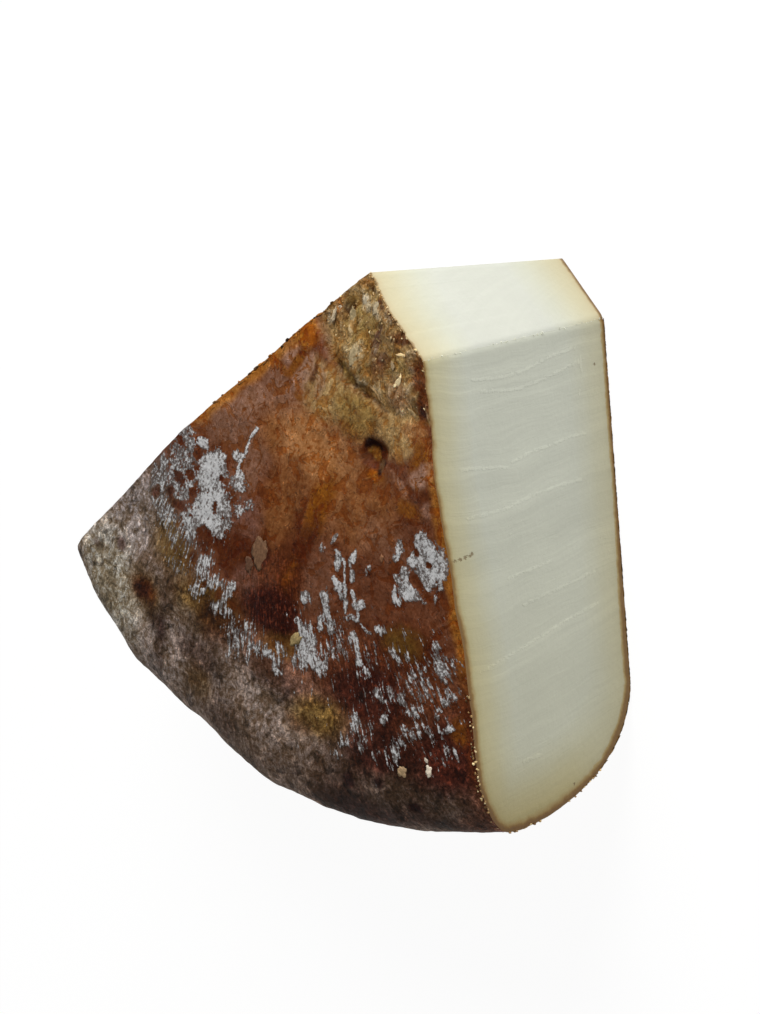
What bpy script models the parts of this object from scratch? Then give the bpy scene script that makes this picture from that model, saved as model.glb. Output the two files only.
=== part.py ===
# A thick wedge, about a sixth, cut from a wheel of firm white cheese with a natural rind.
# Metres, +Z up. The wedge lies on the wheel's flat underside, with its tip towards +X and
# its rim towards -X, and the origin is the centre of its bounding box's base.
import math

import bmesh
import bpy
import numpy as np
from mathutils import Matrix, Vector, noise

# The wheel, measured from its own axis
WHEEL_RADIUS = 0.140
RADIUS_GAIN = 0.006          # the wheel is a little out of round, wider at the far cut
CENTRE_HEIGHT = 0.0679
HEIGHT_LOSS = 0.0051         # the top leans down this much from the near cut to the far cut
DOME_DROP = 0.0102           # the top falls this far from the axis to the rim
DOME_POWER = 1.41

# The round edge between the top and the rim, at the near cut and at the far cut
TOP_EDGE_REACH = (0.0160, 0.0079)
TOP_EDGE_DEPTH = (0.0081, 0.0050)
# The lower rim curves in under the wheel, as a superellipse with one power for its reach inwards
# and one for its height
UNDERCUT_REACH = 0.040
UNDERCUT_POWERS = (2.5, 1.45)
BASE_PRESSED = 0.0005        # the wheel's weight has pressed this much of the curve flat
RIM_SHARE = 0.64             # share of the undercut's curve that counts as rim, the rest as base

# The cuts
WEDGE_ANGLE = math.radians(63.3)
NEAR_TIP_CORNERS = (0.0212, 0.0326)   # from the axis, at the base and at the top
FAR_TIP_CORNERS = (0.0125, 0.0219)
FAR_CUT_BOW = 0.0019         # the far cut bulges outwards this much
FAR_CUT_BOW_AT = 0.66        # share of the way from the tip to the rim where it is widest

# The rind's relief. Places are (along the wedge from the axis, across it towards the near cut).
DISC_CENTRE = (0.0030, 0.0053)   # a sunken, craggy disc near the axis, with a crack round it
DISC_RADIUS = 0.0415
DISC_SINK = 0.0012           # at the far cut, and less towards the near cut
CRAG_HEIGHT = 0.0016
CRAG_LENGTH = 0.0085
CRAG_FADE = 0.005            # the knife left the crags level over this distance from a cut's edge
CRACK_DEPTH = 0.0013
CRACK_WIDTH = 0.0020
CRACK_END = (0.011, 0.016)   # the crack dies out between these places across the wedge
PIT_PLACE = (0.0546, 0.0105)
PIT_SIZE = (0.0030, 0.0042)
PIT_DEPTH = 0.0032
SWELL_HEIGHT = 0.0024
SWELL_LENGTH = 0.034
SWELL_SEED = (-3.1, -15.1, 8.8)
LUMP_HEIGHT = 0.0006
LUMP_LENGTH = 0.012
RELIEF_FADE = 0.050          # the relief fades out over this height above the flat base

# Faces along the wedge, around the wheel and up its height
STEPS_ALONG = 50
STEPS_AROUND = 48
STEPS_UP = 12
TIP_GRADING = 1.15           # over 1 packs the steps closer together near the tip
CURVE_POINTS = 60

RIND_COLOUR = (0.16, 0.085, 0.045, 1.0)


def clear_scene():
    for old in list(bpy.data.objects):
        bpy.data.objects.remove(old)


def smooth_step(low, high, value):
    share = min(1.0, max(0.0, (value - low) / (high - low)))
    return share * share * (3.0 - 2.0 * share)


def azimuth_of(turn):
    """The direction round the axis, where turn is 0 at the near cut and 1 at the far cut."""
    return math.pi + WEDGE_ANGLE * (0.5 - turn)


def tip_distance(turn, rise):
    """From the axis to the cut across the tip. rise is 0 at its base and 1 at its top."""
    near = np.interp(rise, (0.0, 1.0), NEAR_TIP_CORNERS)
    far = np.interp(rise, (0.0, 1.0), FAR_TIP_CORNERS)
    from_near = WEDGE_ANGLE * turn
    spread = near * math.sin(from_near) + far * math.sin(WEDGE_ANGLE - from_near)
    return near * far * math.sin(WEDGE_ANGLE) / spread


def top_height(distance, turn):
    dome = DOME_DROP * (distance / WHEEL_RADIUS) ** DOME_POWER
    return CENTRE_HEIGHT - HEIGHT_LOSS * turn - dome


def bump(distance, width):
    return math.exp(-((distance / width) ** 2))


def rind_relief(distance, height, turn):
    """How far the rind stands out at a point of the wheel."""
    azimuth = azimuth_of(turn)
    along = -distance * math.cos(azimuth)
    across = -distance * math.sin(azimuth)
    place = Vector((along, across, height))
    relief = SWELL_HEIGHT * noise.noise(place / SWELL_LENGTH + Vector(SWELL_SEED))
    relief += LUMP_HEIGHT * noise.noise(place / LUMP_LENGTH)

    from_disc = math.hypot(along - DISC_CENTRE[0], across - DISC_CENTRE[1])
    in_disc = 1.0 - smooth_step(DISC_RADIUS - CRACK_WIDTH, DISC_RADIUS, from_disc)
    from_cuts = min(distance * math.sin(WEDGE_ANGLE * turn), distance - tip_distance(turn, 1.0))
    crag = CRAG_HEIGHT * noise.noise(place / CRAG_LENGTH) * smooth_step(0.0, CRAG_FADE, from_cuts)
    relief += in_disc * (crag - DISC_SINK * turn)
    crack_depth = CRACK_DEPTH * (1.0 - smooth_step(*CRACK_END, across))
    relief -= crack_depth * bump(from_disc - DISC_RADIUS, CRACK_WIDTH)

    pit_along = (along - PIT_PLACE[0]) / PIT_SIZE[0]
    pit_across = (across - PIT_PLACE[1]) / PIT_SIZE[1]
    relief -= PIT_DEPTH * bump(math.hypot(pit_along, pit_across), 1.0)
    return relief * smooth_step(0.0, RELIEF_FADE, height)


def resampled(points, shares):
    """Points at these shares of a polyline's length."""
    points = np.array(points)
    steps = np.linalg.norm(np.diff(points, axis=0), axis=1)
    travelled = np.concatenate([[0.0], np.cumsum(steps)]) / steps.sum()
    return np.column_stack([np.interp(shares, travelled, points[:, axis]) for axis in (0, 1)])


def smooth_outline(turn):
    """The section's top, rim and base as polylines of (distance from the axis, height)."""
    radius = WHEEL_RADIUS + RADIUS_GAIN * turn
    reach = np.interp(turn, (0.0, 1.0), TOP_EDGE_REACH)
    depth = np.interp(turn, (0.0, 1.0), TOP_EDGE_DEPTH)
    widest = top_height(radius, turn) - depth
    swing = np.linspace(0.0, math.pi / 2, CURVE_POINTS)

    edge = [radius - reach * (1.0 - math.sin(angle)) for angle in swing]
    edge = [
        (distance, top_height(distance, turn) - depth * (1.0 - math.cos(angle)))
        for distance, angle in zip(edge, swing)
    ]
    inwards, upwards = (2.0 / power for power in UNDERCUT_POWERS)
    undercut = [
        (
            radius - UNDERCUT_REACH * (1.0 - math.cos(angle) ** inwards),
            max(0.0, widest - (widest + BASE_PRESSED) * math.sin(angle) ** upwards),
        )
        for angle in swing
    ]

    flat = np.linspace(tip_distance(turn, 1.0), edge[0][0], CURVE_POINTS)[:-1]
    half = CURVE_POINTS // 2
    split = int(RIM_SHARE * CURVE_POINTS)
    top = [(distance, top_height(distance, turn)) for distance in flat] + edge[: half + 1]
    rim = edge[half:] + undercut[1 : split + 1]
    base = undercut[split:] + [(tip_distance(turn, 0.0), 0.0)]
    return top, rim, base


def outline(turn):
    """The section's four sides with the rind's relief, each from the base up or from the tip out."""
    along = np.linspace(0.0, 1.0, STEPS_ALONG + 1) ** TIP_GRADING
    up = np.linspace(0.0, 1.0, STEPS_UP + 1)
    top, rim, base = smooth_outline(turn)
    skin = np.vstack([
        resampled(top, along),
        resampled(rim, up)[1:],
        resampled(base, 1.0 - along[::-1])[1:],
    ])

    ahead = np.gradient(skin, axis=0)
    normals = np.column_stack([-ahead[:, 1], ahead[:, 0]])
    normals /= np.linalg.norm(normals, axis=1)[:, None]
    relief = [rind_relief(distance, height, turn) for distance, height in skin]
    skin = skin + normals * np.array(relief)[:, None]

    skin[0][0] = tip_distance(turn, 1.0)
    tip = np.array([(tip_distance(turn, rise), rise * skin[0][1]) for rise in up])
    top = skin[: STEPS_ALONG + 1]
    rim = skin[STEPS_ALONG : STEPS_ALONG + STEPS_UP + 1][::-1]
    base = skin[STEPS_ALONG + STEPS_UP :][::-1]
    return base, rim, top, tip


def section(turn):
    """A full grid of (distance, height) points across the section, filled in from its four sides."""
    base, rim, top, tip = outline(turn)
    u = np.linspace(0.0, 1.0, STEPS_ALONG + 1)[:, None, None] ** TIP_GRADING
    v = np.linspace(0.0, 1.0, STEPS_UP + 1)[None, :, None]
    sides = (1 - v) * base[:, None] + v * top[:, None] + (1 - u) * tip[None] + u * rim[None]
    corners = (1 - u) * ((1 - v) * tip[0] + v * tip[-1]) + u * ((1 - v) * rim[0] + v * rim[-1])
    return sides - corners


def far_cut_bow(distance, turn):
    """How far a point is carried sideways by the bulge of the far cut."""
    inner = FAR_TIP_CORNERS[1]
    share = (distance - inner) / (WHEEL_RADIUS + RADIUS_GAIN - inner)
    share = min(1.0, max(0.0, share))
    if share < FAR_CUT_BOW_AT:
        swell = math.sin(math.pi / 2 * share / FAR_CUT_BOW_AT)
    else:
        swell = math.cos(math.pi / 2 * (share - FAR_CUT_BOW_AT) / (1.0 - FAR_CUT_BOW_AT))
    return FAR_CUT_BOW * swell * turn ** 3


def divided_block(steps):
    """A unit cube with its edges divided along X, Y and Z."""
    block = bmesh.new()
    bmesh.ops.create_cube(block, size=1.0, matrix=Matrix.Translation((0.5, 0.5, 0.5)))
    for axis, count in enumerate(steps):
        edges = [e for e in block.edges if abs(e.verts[0].co[axis] - e.verts[1].co[axis]) > 0.5]
        bmesh.ops.subdivide_edges(block, edges=edges, cuts=count - 1, use_grid_fill=True)
    return block


def shape_wedge(block):
    """Moves the block's points on to the wedge: X runs from tip to rim, Y from near cut to far cut."""
    sections = [section(step / STEPS_AROUND) for step in range(STEPS_AROUND + 1)]
    for vert in block.verts:
        along = round(vert.co.x * STEPS_ALONG)
        around = round(vert.co.y * STEPS_AROUND)
        up = round(vert.co.z * STEPS_UP)
        distance, height = sections[around][along, up]
        turn = around / STEPS_AROUND
        azimuth = azimuth_of(turn)
        outwards = Vector((math.cos(azimuth), math.sin(azimuth), 0.0))
        sideways = Vector((math.sin(azimuth), -math.cos(azimuth), 0.0))
        vert.co = distance * outwards + far_cut_bow(distance, turn) * sideways
        vert.co.z = height


def centre_on_base(block):
    """Puts the origin at the middle of the bounding box's base."""
    corners = np.array([vert.co for vert in block.verts])
    low, high = corners.min(axis=0), corners.max(axis=0)
    shift = Vector((-(low[0] + high[0]) / 2, -(low[1] + high[1]) / 2, -low[2]))
    bmesh.ops.translate(block, verts=block.verts, vec=shift)


def cheese_material():
    material = bpy.data.materials.new("natural_rind")
    material.use_nodes = True
    shader = material.node_tree.nodes["Principled BSDF"]
    shader.inputs["Base Color"].default_value = RIND_COLOUR
    shader.inputs["Roughness"].default_value = 0.45
    return material


def make_cheese_wedge():
    block = divided_block((STEPS_ALONG, STEPS_AROUND, STEPS_UP))
    shape_wedge(block)
    centre_on_base(block)
    bmesh.ops.recalc_face_normals(block, faces=block.faces)
    mesh = bpy.data.meshes.new("cheese_wedge")
    block.to_mesh(mesh)
    block.free()
    mesh.materials.append(cheese_material())
    wedge = bpy.data.objects.new("cheese_wedge", mesh)
    bpy.context.scene.collection.objects.link(wedge)


clear_scene()
make_cheese_wedge()
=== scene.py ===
import math
import random

import bmesh
import bpy
import numpy as np
from mathutils import Matrix, Vector, noise


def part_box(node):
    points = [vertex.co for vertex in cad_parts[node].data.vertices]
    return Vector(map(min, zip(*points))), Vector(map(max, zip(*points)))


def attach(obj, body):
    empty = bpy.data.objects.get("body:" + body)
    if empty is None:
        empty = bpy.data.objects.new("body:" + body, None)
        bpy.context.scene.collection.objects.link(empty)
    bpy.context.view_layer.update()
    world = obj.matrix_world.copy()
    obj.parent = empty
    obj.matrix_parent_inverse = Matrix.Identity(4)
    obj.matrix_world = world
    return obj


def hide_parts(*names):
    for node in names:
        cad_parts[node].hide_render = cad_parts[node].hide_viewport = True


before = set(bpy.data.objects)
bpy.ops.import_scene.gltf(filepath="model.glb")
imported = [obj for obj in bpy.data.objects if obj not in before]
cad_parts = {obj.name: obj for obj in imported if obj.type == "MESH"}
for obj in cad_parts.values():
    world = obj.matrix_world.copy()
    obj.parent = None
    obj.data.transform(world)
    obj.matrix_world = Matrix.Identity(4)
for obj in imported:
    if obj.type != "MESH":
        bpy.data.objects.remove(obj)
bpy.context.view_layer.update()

# The offsets that noise_vector adds to a place come from this seed
noise.seed_set(5)


# The wedge's shape
# A sixth of a small wheel of firm goat's cheese, pressed in a cloth, brined, aged on a board
# and cut with a wire. Its tip was cut off at a slant. Sizes are in metres from the wheel's axis.
WHEEL_RADIUS = 0.140
RADIUS_GAIN = 0.006
CENTRE_HEIGHT = 0.0679
HEIGHT_LOSS = 0.0051
DOME_DROP = 0.0102
DOME_POWER = 1.41
TOP_EDGE_REACH = (0.0160, 0.0079)
TOP_EDGE_DEPTH = (0.0081, 0.0050)
UNDERCUT_REACH = 0.040
UNDERCUT_POWERS = (2.5, 1.45)
BASE_PRESSED = 0.0005
RIM_SHARE = 0.64
WEDGE_ANGLE = math.radians(63.3)
NEAR_TIP_CORNERS = (0.0212, 0.0326)
FAR_TIP_CORNERS = (0.0125, 0.0219)
FAR_CUT_BOW = 0.0019
FAR_CUT_BOW_AT = 0.66

STEPS_ALONG = 250
STEPS_AROUND = 180
STEPS_UP = 40
TIP_GRADING = 1.1
CURVE_POINTS = 400


def smooth_step(start, end, value):
    share = np.clip((value - start) / (end - start), 0.0, 1.0)
    return share * share * (3.0 - 2.0 * share)


def azimuth_of(turn):
    """The direction round the axis, where turn is 0 at the near cut and 1 at the far cut."""
    return math.pi + WEDGE_ANGLE * (0.5 - turn)


def tip_distance(turn, rise):
    """From the axis to the cut across the tip. rise is 0 at its base and 1 at its top."""
    near = np.interp(rise, (0.0, 1.0), NEAR_TIP_CORNERS)
    far = np.interp(rise, (0.0, 1.0), FAR_TIP_CORNERS)
    from_near = WEDGE_ANGLE * turn
    spread = near * math.sin(from_near) + far * math.sin(WEDGE_ANGLE - from_near)
    return near * far * math.sin(WEDGE_ANGLE) / spread


def top_height(distance, turn):
    return CENTRE_HEIGHT - HEIGHT_LOSS * turn - DOME_DROP * (distance / WHEEL_RADIUS) ** DOME_POWER


def resampled(points, shares):
    """Points at these shares of a polyline's length."""
    steps = np.linalg.norm(np.diff(points, axis=0), axis=1)
    travelled = np.concatenate([[0.0], np.cumsum(steps)]) / steps.sum()
    return np.column_stack([np.interp(shares, travelled, points[:, axis]) for axis in (0, 1)])


def skin_line(turn):
    """One section's rind, from the tip's top over the rim to the tip's base, as (distance, height)."""
    radius = WHEEL_RADIUS + RADIUS_GAIN * turn
    reach = np.interp(turn, (0.0, 1.0), TOP_EDGE_REACH)
    depth = np.interp(turn, (0.0, 1.0), TOP_EDGE_DEPTH)
    widest = top_height(radius, turn) - depth
    swing = np.linspace(0.0, math.pi / 2, CURVE_POINTS)

    edge = radius - reach * (1.0 - np.sin(swing))
    edge = np.column_stack([edge, top_height(edge, turn) - depth * (1.0 - np.cos(swing))])
    inwards, upwards = (2.0 / power for power in UNDERCUT_POWERS)
    undercut = radius - UNDERCUT_REACH * (1.0 - np.cos(swing) ** inwards)
    sunk = widest - (widest + BASE_PRESSED) * np.sin(swing) ** upwards
    undercut = np.column_stack([undercut, np.maximum(0.0, sunk)])

    flat = np.linspace(tip_distance(turn, 1.0), edge[0, 0], CURVE_POINTS)[:-1]
    flat = np.column_stack([flat, top_height(flat, turn)])
    half = CURVE_POINTS // 2
    split = int(RIM_SHARE * CURVE_POINTS)
    along = np.linspace(0.0, 1.0, STEPS_ALONG + 1) ** TIP_GRADING
    up = np.linspace(0.0, 1.0, STEPS_UP + 1)
    top = resampled(np.vstack([flat, edge[: half + 1]]), along)
    rim = resampled(np.vstack([edge[half:], undercut[1 : split + 1]]), up)
    base = resampled(np.vstack([undercut[split:], [(tip_distance(turn, 0.0), 0.0)]]), 1.0 - along[::-1])
    return np.vstack([top, rim[1:], base[1:]])


turns = np.linspace(0.0, 1.0, STEPS_AROUND + 1)
azimuths = azimuth_of(turns)
skin = np.array([skin_line(turn) for turn in turns])
plan_along = -skin[:, :, 0] * np.cos(azimuths)[:, None]
plan_across = -skin[:, :, 0] * np.sin(azimuths)[:, None]

# The rind unrolled: millimetres along the wedge and across it, over the top and on down the rim
steps = np.linalg.norm(np.diff(skin, axis=1), axis=2)
travelled = skin[:, :1, 0] + np.concatenate([np.zeros((len(turns), 1)), np.cumsum(steps, axis=1)], axis=1)
along = -1000.0 * travelled * np.cos(azimuths)[:, None]
across = -1000.0 * travelled * np.sin(azimuths)[:, None]


# The rind's patches
# Each is an ellipse on the unrolled rind, with its edge frayed by noise. Places and half sizes are
# in millimetres; a heading of 0 lies along the wedge, and 90 lies across it, towards the near cut.
def wandering(size, seed):
    """Two fields of smooth noise over the rind, for fraying what is painted on it."""
    fields = np.zeros(skin.shape)
    for row, column in np.ndindex(skin.shape[:2]):
        place = Vector((plan_along[row, column], plan_across[row, column], skin[row, column, 1]))
        fields[row, column] = noise.noise_vector(place / size + Vector((seed, 0.0, 0.0)))[:2]
    return fields


# The size of each noise in metres and its seed, and how many millimetres it moves an edge
COARSE_NOISE = (0.0045, 11.0)
FINE_NOISE = (0.0016, 37.0)
COARSE_FRAY = 0.9
FINE_FRAY = 0.5
coarse = wandering(*COARSE_NOISE)
fine = wandering(*FINE_NOISE)
frayed_along = along + COARSE_FRAY * coarse[:, :, 0] + FINE_FRAY * fine[:, :, 0]
frayed_across = across + COARSE_FRAY * coarse[:, :, 1] + FINE_FRAY * fine[:, :, 1]


def patch(place, size, heading=0.0, soft=0.35):
    """1 inside an ellipse on the rind, falling to 0 over its soft edge."""
    ahead = frayed_along - place[0]
    aside = frayed_across - place[1]
    cos, sin = math.cos(math.radians(heading)), math.sin(math.radians(heading))
    reach = np.hypot((ahead * cos + aside * sin) / size[0], (aside * cos - ahead * sin) / size[1])
    return 1.0 - smooth_step(1.0 - soft, 1.0 + soft, reach)


def line_gap(x, y, points):
    """The distance from each place to the nearest point of a line drawn through some others."""
    nearest = np.full(x.shape, np.inf)
    for start, end in zip(np.array(points[:-1], float), np.array(points[1:], float)):
        run = end - start
        share = np.clip(((x - start[0]) * run[0] + (y - start[1]) * run[1]) / run.dot(run), 0.0, 1.0)
        gap = np.hypot(x - start[0] - share * run[0], y - start[1] - share * run[1])
        nearest = np.minimum(nearest, gap)
    return nearest


def stroke(points, width, soft=0.6):
    """1 along a thin stroke through some places on the rind."""
    return 1.0 - smooth_step(1.0 - soft, 1.0 + soft, line_gap(frayed_along, frayed_across, points) / width)


# The rind's colours
# The rind was rubbed with oil as it aged, which turned it amber and red-brown where it is bare,
# mauve where a thin film dried on it, and olive in the crags round the wheel's middle. The mauve
# is partly the film's own colour and partly its sheen, painted in as a paler, cooler colour.
SHEEN = 0.004
DARKEST = 0.0015
LIGHT_ON_RIND = 0.47


def albedo(red, green, blue, light=LIGHT_ON_RIND):
    """The colour that shows on a screen as this one, from 0 to 255, under so much light."""
    shown = np.array([red, green, blue]) / 255.0
    shown = np.where(shown <= 0.04045, shown / 12.92, ((shown + 0.055) / 1.055) ** 2.4)
    return np.maximum(shown - SHEEN, DARKEST) / light


AMBER = albedo(102, 58, 6)
BRIGHT_AMBER = albedo(138, 86, 28)
DEEP_AMBER = albedo(68, 33, 5)
HONEY = albedo(137, 93, 55)
RED_BROWN = albedo(88, 52, 34)
DARK_RED = albedo(46, 21, 15)
BLACK_BROWN = albedo(30, 16, 9)
# The mauves are the dried film's colour with its sheen painted into them
MAUVE = albedo(108, 76, 58)
PALE_MAUVE = albedo(134, 100, 80)
OLIVE = albedo(132, 108, 60)
DARK_OLIVE = albedo(84, 63, 25)
TAN = albedo(144, 115, 72)
# Pale flakes, and also painted highlights on the tops of the crumples
PALE_FLAKE_AND_HIGHLIGHT = albedo(178, 162, 132)
PLUM = albedo(92, 62, 50)
TAUPE = albedo(102, 90, 82)
LILAC_GREY = albedo(112, 103, 98)
UMBER = albedo(52, 38, 31)
GREY_BROWN = albedo(92, 79, 69)
STRAW_GREY = albedo(134, 129, 117)
# Painted shade in the creases
CREASE_SHADE_BROWN = albedo(78, 54, 30)
PIT_FACET = albedo(112, 78, 34)
RUST = albedo(112, 58, 40)
ORANGE_BROWN = albedo(106, 66, 36)
RED_EDGE = albedo(84, 38, 8)

RIND_PATCHES = (
    # The band of the rim, from the far cut round to the near cut
    (GREY_BROWN, (142, -5), (27, 75), 0, 0.9, 0.3), (TAUPE, (122, -52), (24, 26), -25, 0.9, 0.4),
    (LILAC_GREY, (104, -58), (15, 9), -30, 0.85, 0.6), (STRAW_GREY, (124, -60), (9, 15), -35, 0.8, 0.6),
    (TAUPE, (127, -5), (8, 22), 0, 0.6, 0.6), (UMBER, (126, -24), (5, 9), 10, 0.8, 0.6),
    (TAUPE, (132, -32), (5, 12), -15, 0.8, 0.5), (UMBER, (123, -41), (4, 4), 0, 0.7, 0.5),
    (UMBER, (130, 46), (17, 26), 25, 0.95, 0.5), (UMBER, (121, 62), (12, 12), 30, 0.35, 0.6),
    (GREY_BROWN, (125, 44), (4, 8), 25, 0.4, 0.6), (GREY_BROWN, (120, 60), (4, 7), 30, 0.5, 0.6),
    (GREY_BROWN, (134, 55), (4, 8), 30, 0.5, 0.6), (PLUM, (112, 66), (5, 4), 30, 0.4, 0.6),
    (BLACK_BROWN, (137, 34), (5, 12), 15, 0.5, 0.7),
    # The middle of the rind
    (HONEY, (62, -9), (9, 15), 0, 0.9, 0.7), (HONEY, (70, 0), (8, 9), 20, 0.4, 0.8),
    (MAUVE, (67, -36), (11, 8), -30, 0.95, 0.5), (MAUVE, (75, -26), (8, 5), 0, 0.8, 0.4),
    (PALE_MAUVE, (62, -31), (5, 2.5), -30, 0.4, 0.6), (AMBER, (67, -24), (4, 4), 0, 0.4, 0.6),
    (ORANGE_BROWN, (68, 14), (10, 9), 0, 0.9, 0.5), (MAUVE, (72, 22), (5, 8), 0, 0.5, 0.6),
    (DEEP_AMBER, (84, -10), (14, 8), 0, 0.75, 0.5), (ORANGE_BROWN, (79, -13), (10, 6), 0, 0.85, 0.5),
    (AMBER, (74, -1), (9, 3.6), 0, 0.95, 0.4), (DEEP_AMBER, (85, -1), (9, 3), -8, 0.8, 0.5),
    (DEEP_AMBER, (94, -2), (9, 4.5), 0, 0.95, 0.4), (AMBER, (92, -3), (4, 1.4), 0, 0.35, 0.6),
    (PLUM, (88, -21), (6, 5), 0, 0.7, 0.5), (DEEP_AMBER, (97, -21), (5, 7), 10, 0.95, 0.3),
    (PLUM, (101, -15), (3.5, 4.5), 0, 0.8, 0.4), (DARK_RED, (92.5, -13), (4, 3.1), 20, 0.7, 0.2),
    (RED_BROWN, (90, 6.5), (10, 6), 0, 0.9, 0.25), (MAUVE, (90, 6.5), (8, 5), 0, 0.35, 0.4),
    (RED_BROWN, (84, 24), (9, 13), 0, 0.9, 0.4), (RED_BROWN, (82, 43), (8, 8), 20, 0.9, 0.4),
    (DEEP_AMBER, (91, 37), (6, 10), 15, 0.85, 0.4), (DARK_OLIVE, (91, 35), (3.5, 6), 20, 0.6, 0.5),
    (DEEP_AMBER, (100, 30), (5, 9), 20, 0.8, 0.5), (DARK_RED, (103, -4), (6, 9), 0, 0.95, 0.3),
    (DARK_RED, (107, 30), (7, 14), 15, 0.9, 0.4), (DARK_RED, (108, 58), (9, 12), 35, 0.9, 0.4),
    (AMBER, (102, 58), (3, 2.5), 30, 0.6, 0.6), (DARK_RED, (105, -10), (4, 5), 20, 0.7, 0.5),
    (DARK_OLIVE, (109.5, 1), (3, 6), 20, 0.5, 0.5), (DARK_OLIVE, (105, -42), (6, 9), -15, 0.8, 0.5),
    (DARK_OLIVE, (113, -26), (6, 12), 10, 0.8, 0.5), (DARK_RED, (114, -20), (5, 8), 20, 0.7, 0.5),
    (DARK_RED, (118, 2), (3.5, 10), 0, 0.5, 0.6), (DARK_OLIVE, (120, 17), (4.5, 9), 20, 0.8, 0.5),
    (DARK_RED, (117, 38), (6, 11), 25, 0.8, 0.4), (DARK_OLIVE, (120, -47), (4.5, 6.5), 0, 0.8, 0.6),
    (DEEP_AMBER, (120, -47), (3, 4.5), 0, 0.9, 0.6), (BLACK_BROWN, (121, -48), (2, 3), 0, 0.7, 0.5),
    (BLACK_BROWN, (126, -38), (4, 1.6), 0, 0.8, 0.6), (UMBER, (131, -36), (6, 1.4), 0, 0.6, 0.6),
    (TAUPE, (119, -30), (3, 4), 0, 0.5, 0.6), (UMBER, (116, -38), (5, 3), 0, 0.5, 0.6),
    (DARK_OLIVE, (132, -22), (4, 5), 0, 0.5, 0.6), (UMBER, (135, -12), (5, 7), 0, 0.5, 0.6),
    (DARK_RED, (124, 13), (2, 5), 0, 0.5, 0.6), (TAUPE, (125, 0), (4, 6), 0, 0.5, 0.6),
    (DARK_RED, (114, -60), (1.6, 1.9), 0, 0.8, 0.4), (DARK_RED, (117.5, -67.5), (1, 1.5), 0, 0.6, 0.5),
    (BLACK_BROWN, (125, 52), (1.4, 2.5), 0, 0.9, 0.3), (BLACK_BROWN, (128, 32), (1.8, 2), 0, 0.8, 0.3),
    (BLACK_BROWN, (124, 41), (1.2, 1.6), 0, 0.8, 0.3), (BLACK_BROWN, (123, -42), (2, 2.4), 0, 0.5, 0.5),
    # Round the crack
    (TAN, (49, -11), (6, 9), 0, 0.9, 0.4), (OLIVE, (49, 1), (5, 7), 0, 0.8, 0.5),
    (AMBER, (50.5, 2), (4, 5.5), 0, 0.25, 0.6), (TAN, (47, 15), (5.5, 7), 0, 0.9, 0.4),
    (MAUVE, (53, -24), (7, 7), -30, 0.8, 0.5), (PALE_MAUVE, (46, -25.5), (2.6, 2.6), 0, 0.7, 0.3),
    (PALE_MAUVE, (47, -19), (3.5, 2.6), 0, 0.7, 0.3), (PALE_MAUVE, (51, -20), (3, 2.2), 30, 0.5, 0.3),
    (PALE_MAUVE, (48, -13), (4, 2), 0, 0.5, 0.4), (BRIGHT_AMBER, (40, -22), (3.2, 3.6), 0, 0.9, 0.5),
    (AMBER, (47, -22.4), (4.5, 1.3), -10, 0.9, 0.3), (AMBER, (51, -26), (1.4, 3), 0, 0.8, 0.3),
    (AMBER, (54, -18.5), (1.2, 1.4), 0, 0.8, 0.3), (DEEP_AMBER, (47, -16), (2.2, 1), 0, 0.8, 0.3),
    (AMBER, (53, 0), (1.4, 3.6), 0, 0.5, 0.5), (AMBER, (49, 25), (6, 3.2), 20, 0.9, 0.4),
    (HONEY, (44, 20), (2.5, 4), 20, 0.7, 0.5), (MAUVE, (52, 27), (5, 2.6), -40, 0.95, 0.25),
    (PALE_MAUVE, (52, 27), (4, 2), -40, 0.5, 0.4), (PALE_MAUVE, (57.5, 21.5), (1.2, 4), -20, 0.5, 0.3),
    (DEEP_AMBER, (57, 30), (2.4, 2.2), 0, 0.8, 0.4), (AMBER, (61, 26), (2.2, 4.6), 0, 0.8, 0.4),
    (PALE_MAUVE, (58.5, 31), (2, 1.8), -20, 0.4, 0.4), (AMBER, (59, 12), (1.9, 3.2), 0, 0.9, 0.4),
    # The pit: painted shade in black-brown on its wall towards the tip, a brown facet, and a grey-brown
    # heap with black spots
    (DEEP_AMBER, (55.2, 9.6), (4.2, 4.2), 0, 0.8, 0.25),
    (BLACK_BROWN, (53.6, 7.9), (1.7, 2.4), 0, 0.9, 0.2),
    (PIT_FACET, (55.2, 8.9), (1.5, 1.9), -20, 0.95, 0.2),
    (GREY_BROWN, (56.4, 12.4), (1.7, 1.6), 0, 0.9, 0.3),
    (BLACK_BROWN, (58.2, 12.4), (0.8, 1.2), 0, 0.9, 0.3),
    (BLACK_BROWN, (55.2, 13.9), (0.8, 0.7), 0, 0.8, 0.3),
    (BRIGHT_AMBER, (59.4, 11.2), (1.0, 1.7), 0, 0.8, 0.3),
)
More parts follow.
